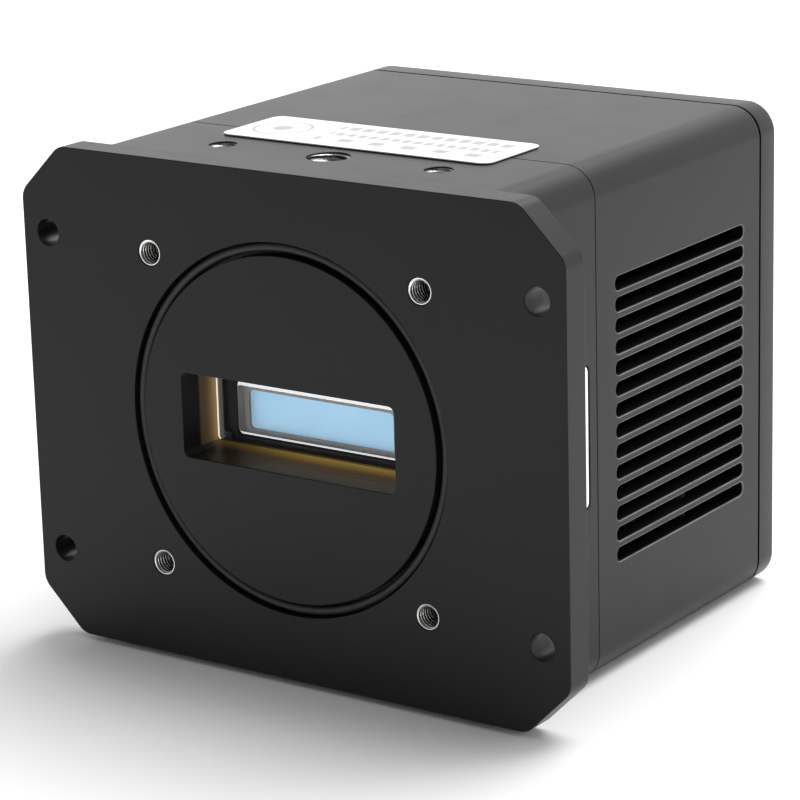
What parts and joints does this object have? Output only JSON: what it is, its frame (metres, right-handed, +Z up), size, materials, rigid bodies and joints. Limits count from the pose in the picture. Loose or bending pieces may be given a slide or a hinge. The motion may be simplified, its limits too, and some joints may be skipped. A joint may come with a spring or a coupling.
{
  "type": "cooled astronomy camera",
  "caption": "Square cooled camera with a wide chamfered mounting flange, rectangular sensor pocket, sealing ring, side vents, rear fan and rear sockets.",
  "frame": {"origin": "centre of the object's footprint, on the plane of the body's flat underside", "axes": "-Y is the way the sensor and the flange face look, +X is to the right of someone facing that face and runs along the flange's width, +Z is up through the tripod hole"},
  "size_m": [0.08, 0.065, 0.0649],
  "materials": {
    "anodised_black": "bead-blasted and black anodised",
    "ring_rubber": "smooth moulded nitrile rubber",
    "thread_steel": "bright machined stainless thread sleeve",
    "label_film": "satin white film with plain grey bars",
    "opal_acrylic": "opal white light guide",
    "amber_polyimide": "amber polyimide",
    "window_glass": "polished, anti-reflection coated",
    "bright_steel": "bright nickel-plated steel",
    "sensor_silicon": "polished light blue silicon",
    "black_ceramic": "matt black ceramic package",
    "circuit_board": "green solder mask on glass fibre",
    "copper": "machined copper",
    "grey_foam": "closed-cell foam",
    "white_ceramic": "white alumina",
    "cooler_pellet": "dull grey soldered pellets",
    "raw_aluminium": "bare machined aluminium",
    "black_plastic": "moulded black thermoplastic",
    "ferrite": "dark grey ferrite",
    "bronze": "sintered bronze",
    "brass": "turned brass",
    "blue_plastic": "blue connector plastic",
    "ivory_plastic": "ivory connector plastic",
    "chip_epoxy": "matt black moulded epoxy",
    "black_steel": "black oxide socket screws"
  },
  "bodies": {
    "camera": {"front_housing": "anodised_black", "body_shell": "anodised_black", "rear_cover": "anodised_black", "o_ring": "ring_rubber", "thread_insert_1": "thread_steel", "thread_insert_2": "thread_steel", "thread_insert_3": "thread_steel", "thread_insert_4": "thread_steel", "seal_label": "label_film", "status_light": "opal_acrylic", "window_frame": "amber_polyimide", "sensor_window": "window_glass", "sensor_bezel": "bright_steel", "sensor_die": "sensor_silicon", "sensor_package": "black_ceramic", "sensor_board": "circuit_board", "cold_finger": "copper", "foam_insulator": "grey_foam", "tec_cold_plate": "white_ceramic", "tec_pellets": "cooler_pellet", "tec_hot_plate": "white_ceramic", "chamber_gasket": "ring_rubber", "heat_sink": "anodised_black", "fan_frame": "black_plastic", "fan_bearing": "bronze", "fan_stator": "copper", "main_board": "circuit_board", "usb_port": "bright_steel", "usb_tongue": "blue_plastic", "power_jack": "black_plastic", "power_jack_pin": "bright_steel", "trigger_jack": "black_plastic", "processor_chip": "chip_epoxy", "memory_chip": "chip_epoxy", "power_inductor": "ferrite", "capacitor_1": "raw_aluminium", "capacitor_2": "raw_aluminium", "board_spacer_1": "brass", "board_spacer_2": "brass", "board_spacer_3": "brass", "board_spacer_4": "brass", "sensor_connector": "ivory_plastic", "board_connector": "ivory_plastic", "flex_cable": "amber_polyimide", "tie_screw_1": "black_steel", "tie_screw_2": "black_steel", "tie_screw_3": "black_steel", "tie_screw_4": "black_steel", "fan_screw_1": "black_steel", "fan_screw_2": "black_steel", "fan_screw_3": "black_steel", "fan_screw_4": "black_steel", "sink_screw_1": "bright_steel", "sink_screw_2": "bright_steel", "sink_screw_3": "bright_steel", "sink_screw_4": "bright_steel"},
    "fan": {"fan_rotor": "black_plastic", "fan_magnet": "ferrite", "fan_shaft": "bright_steel"}
  },
  "joints": [
    {"name": "fan_spin", "type": "hinge", "parent": "camera", "child": "fan", "pos_m": [0, 0.0248, 0.0382], "axis": [0, 1, 0], "continuous": true}
  ]
}
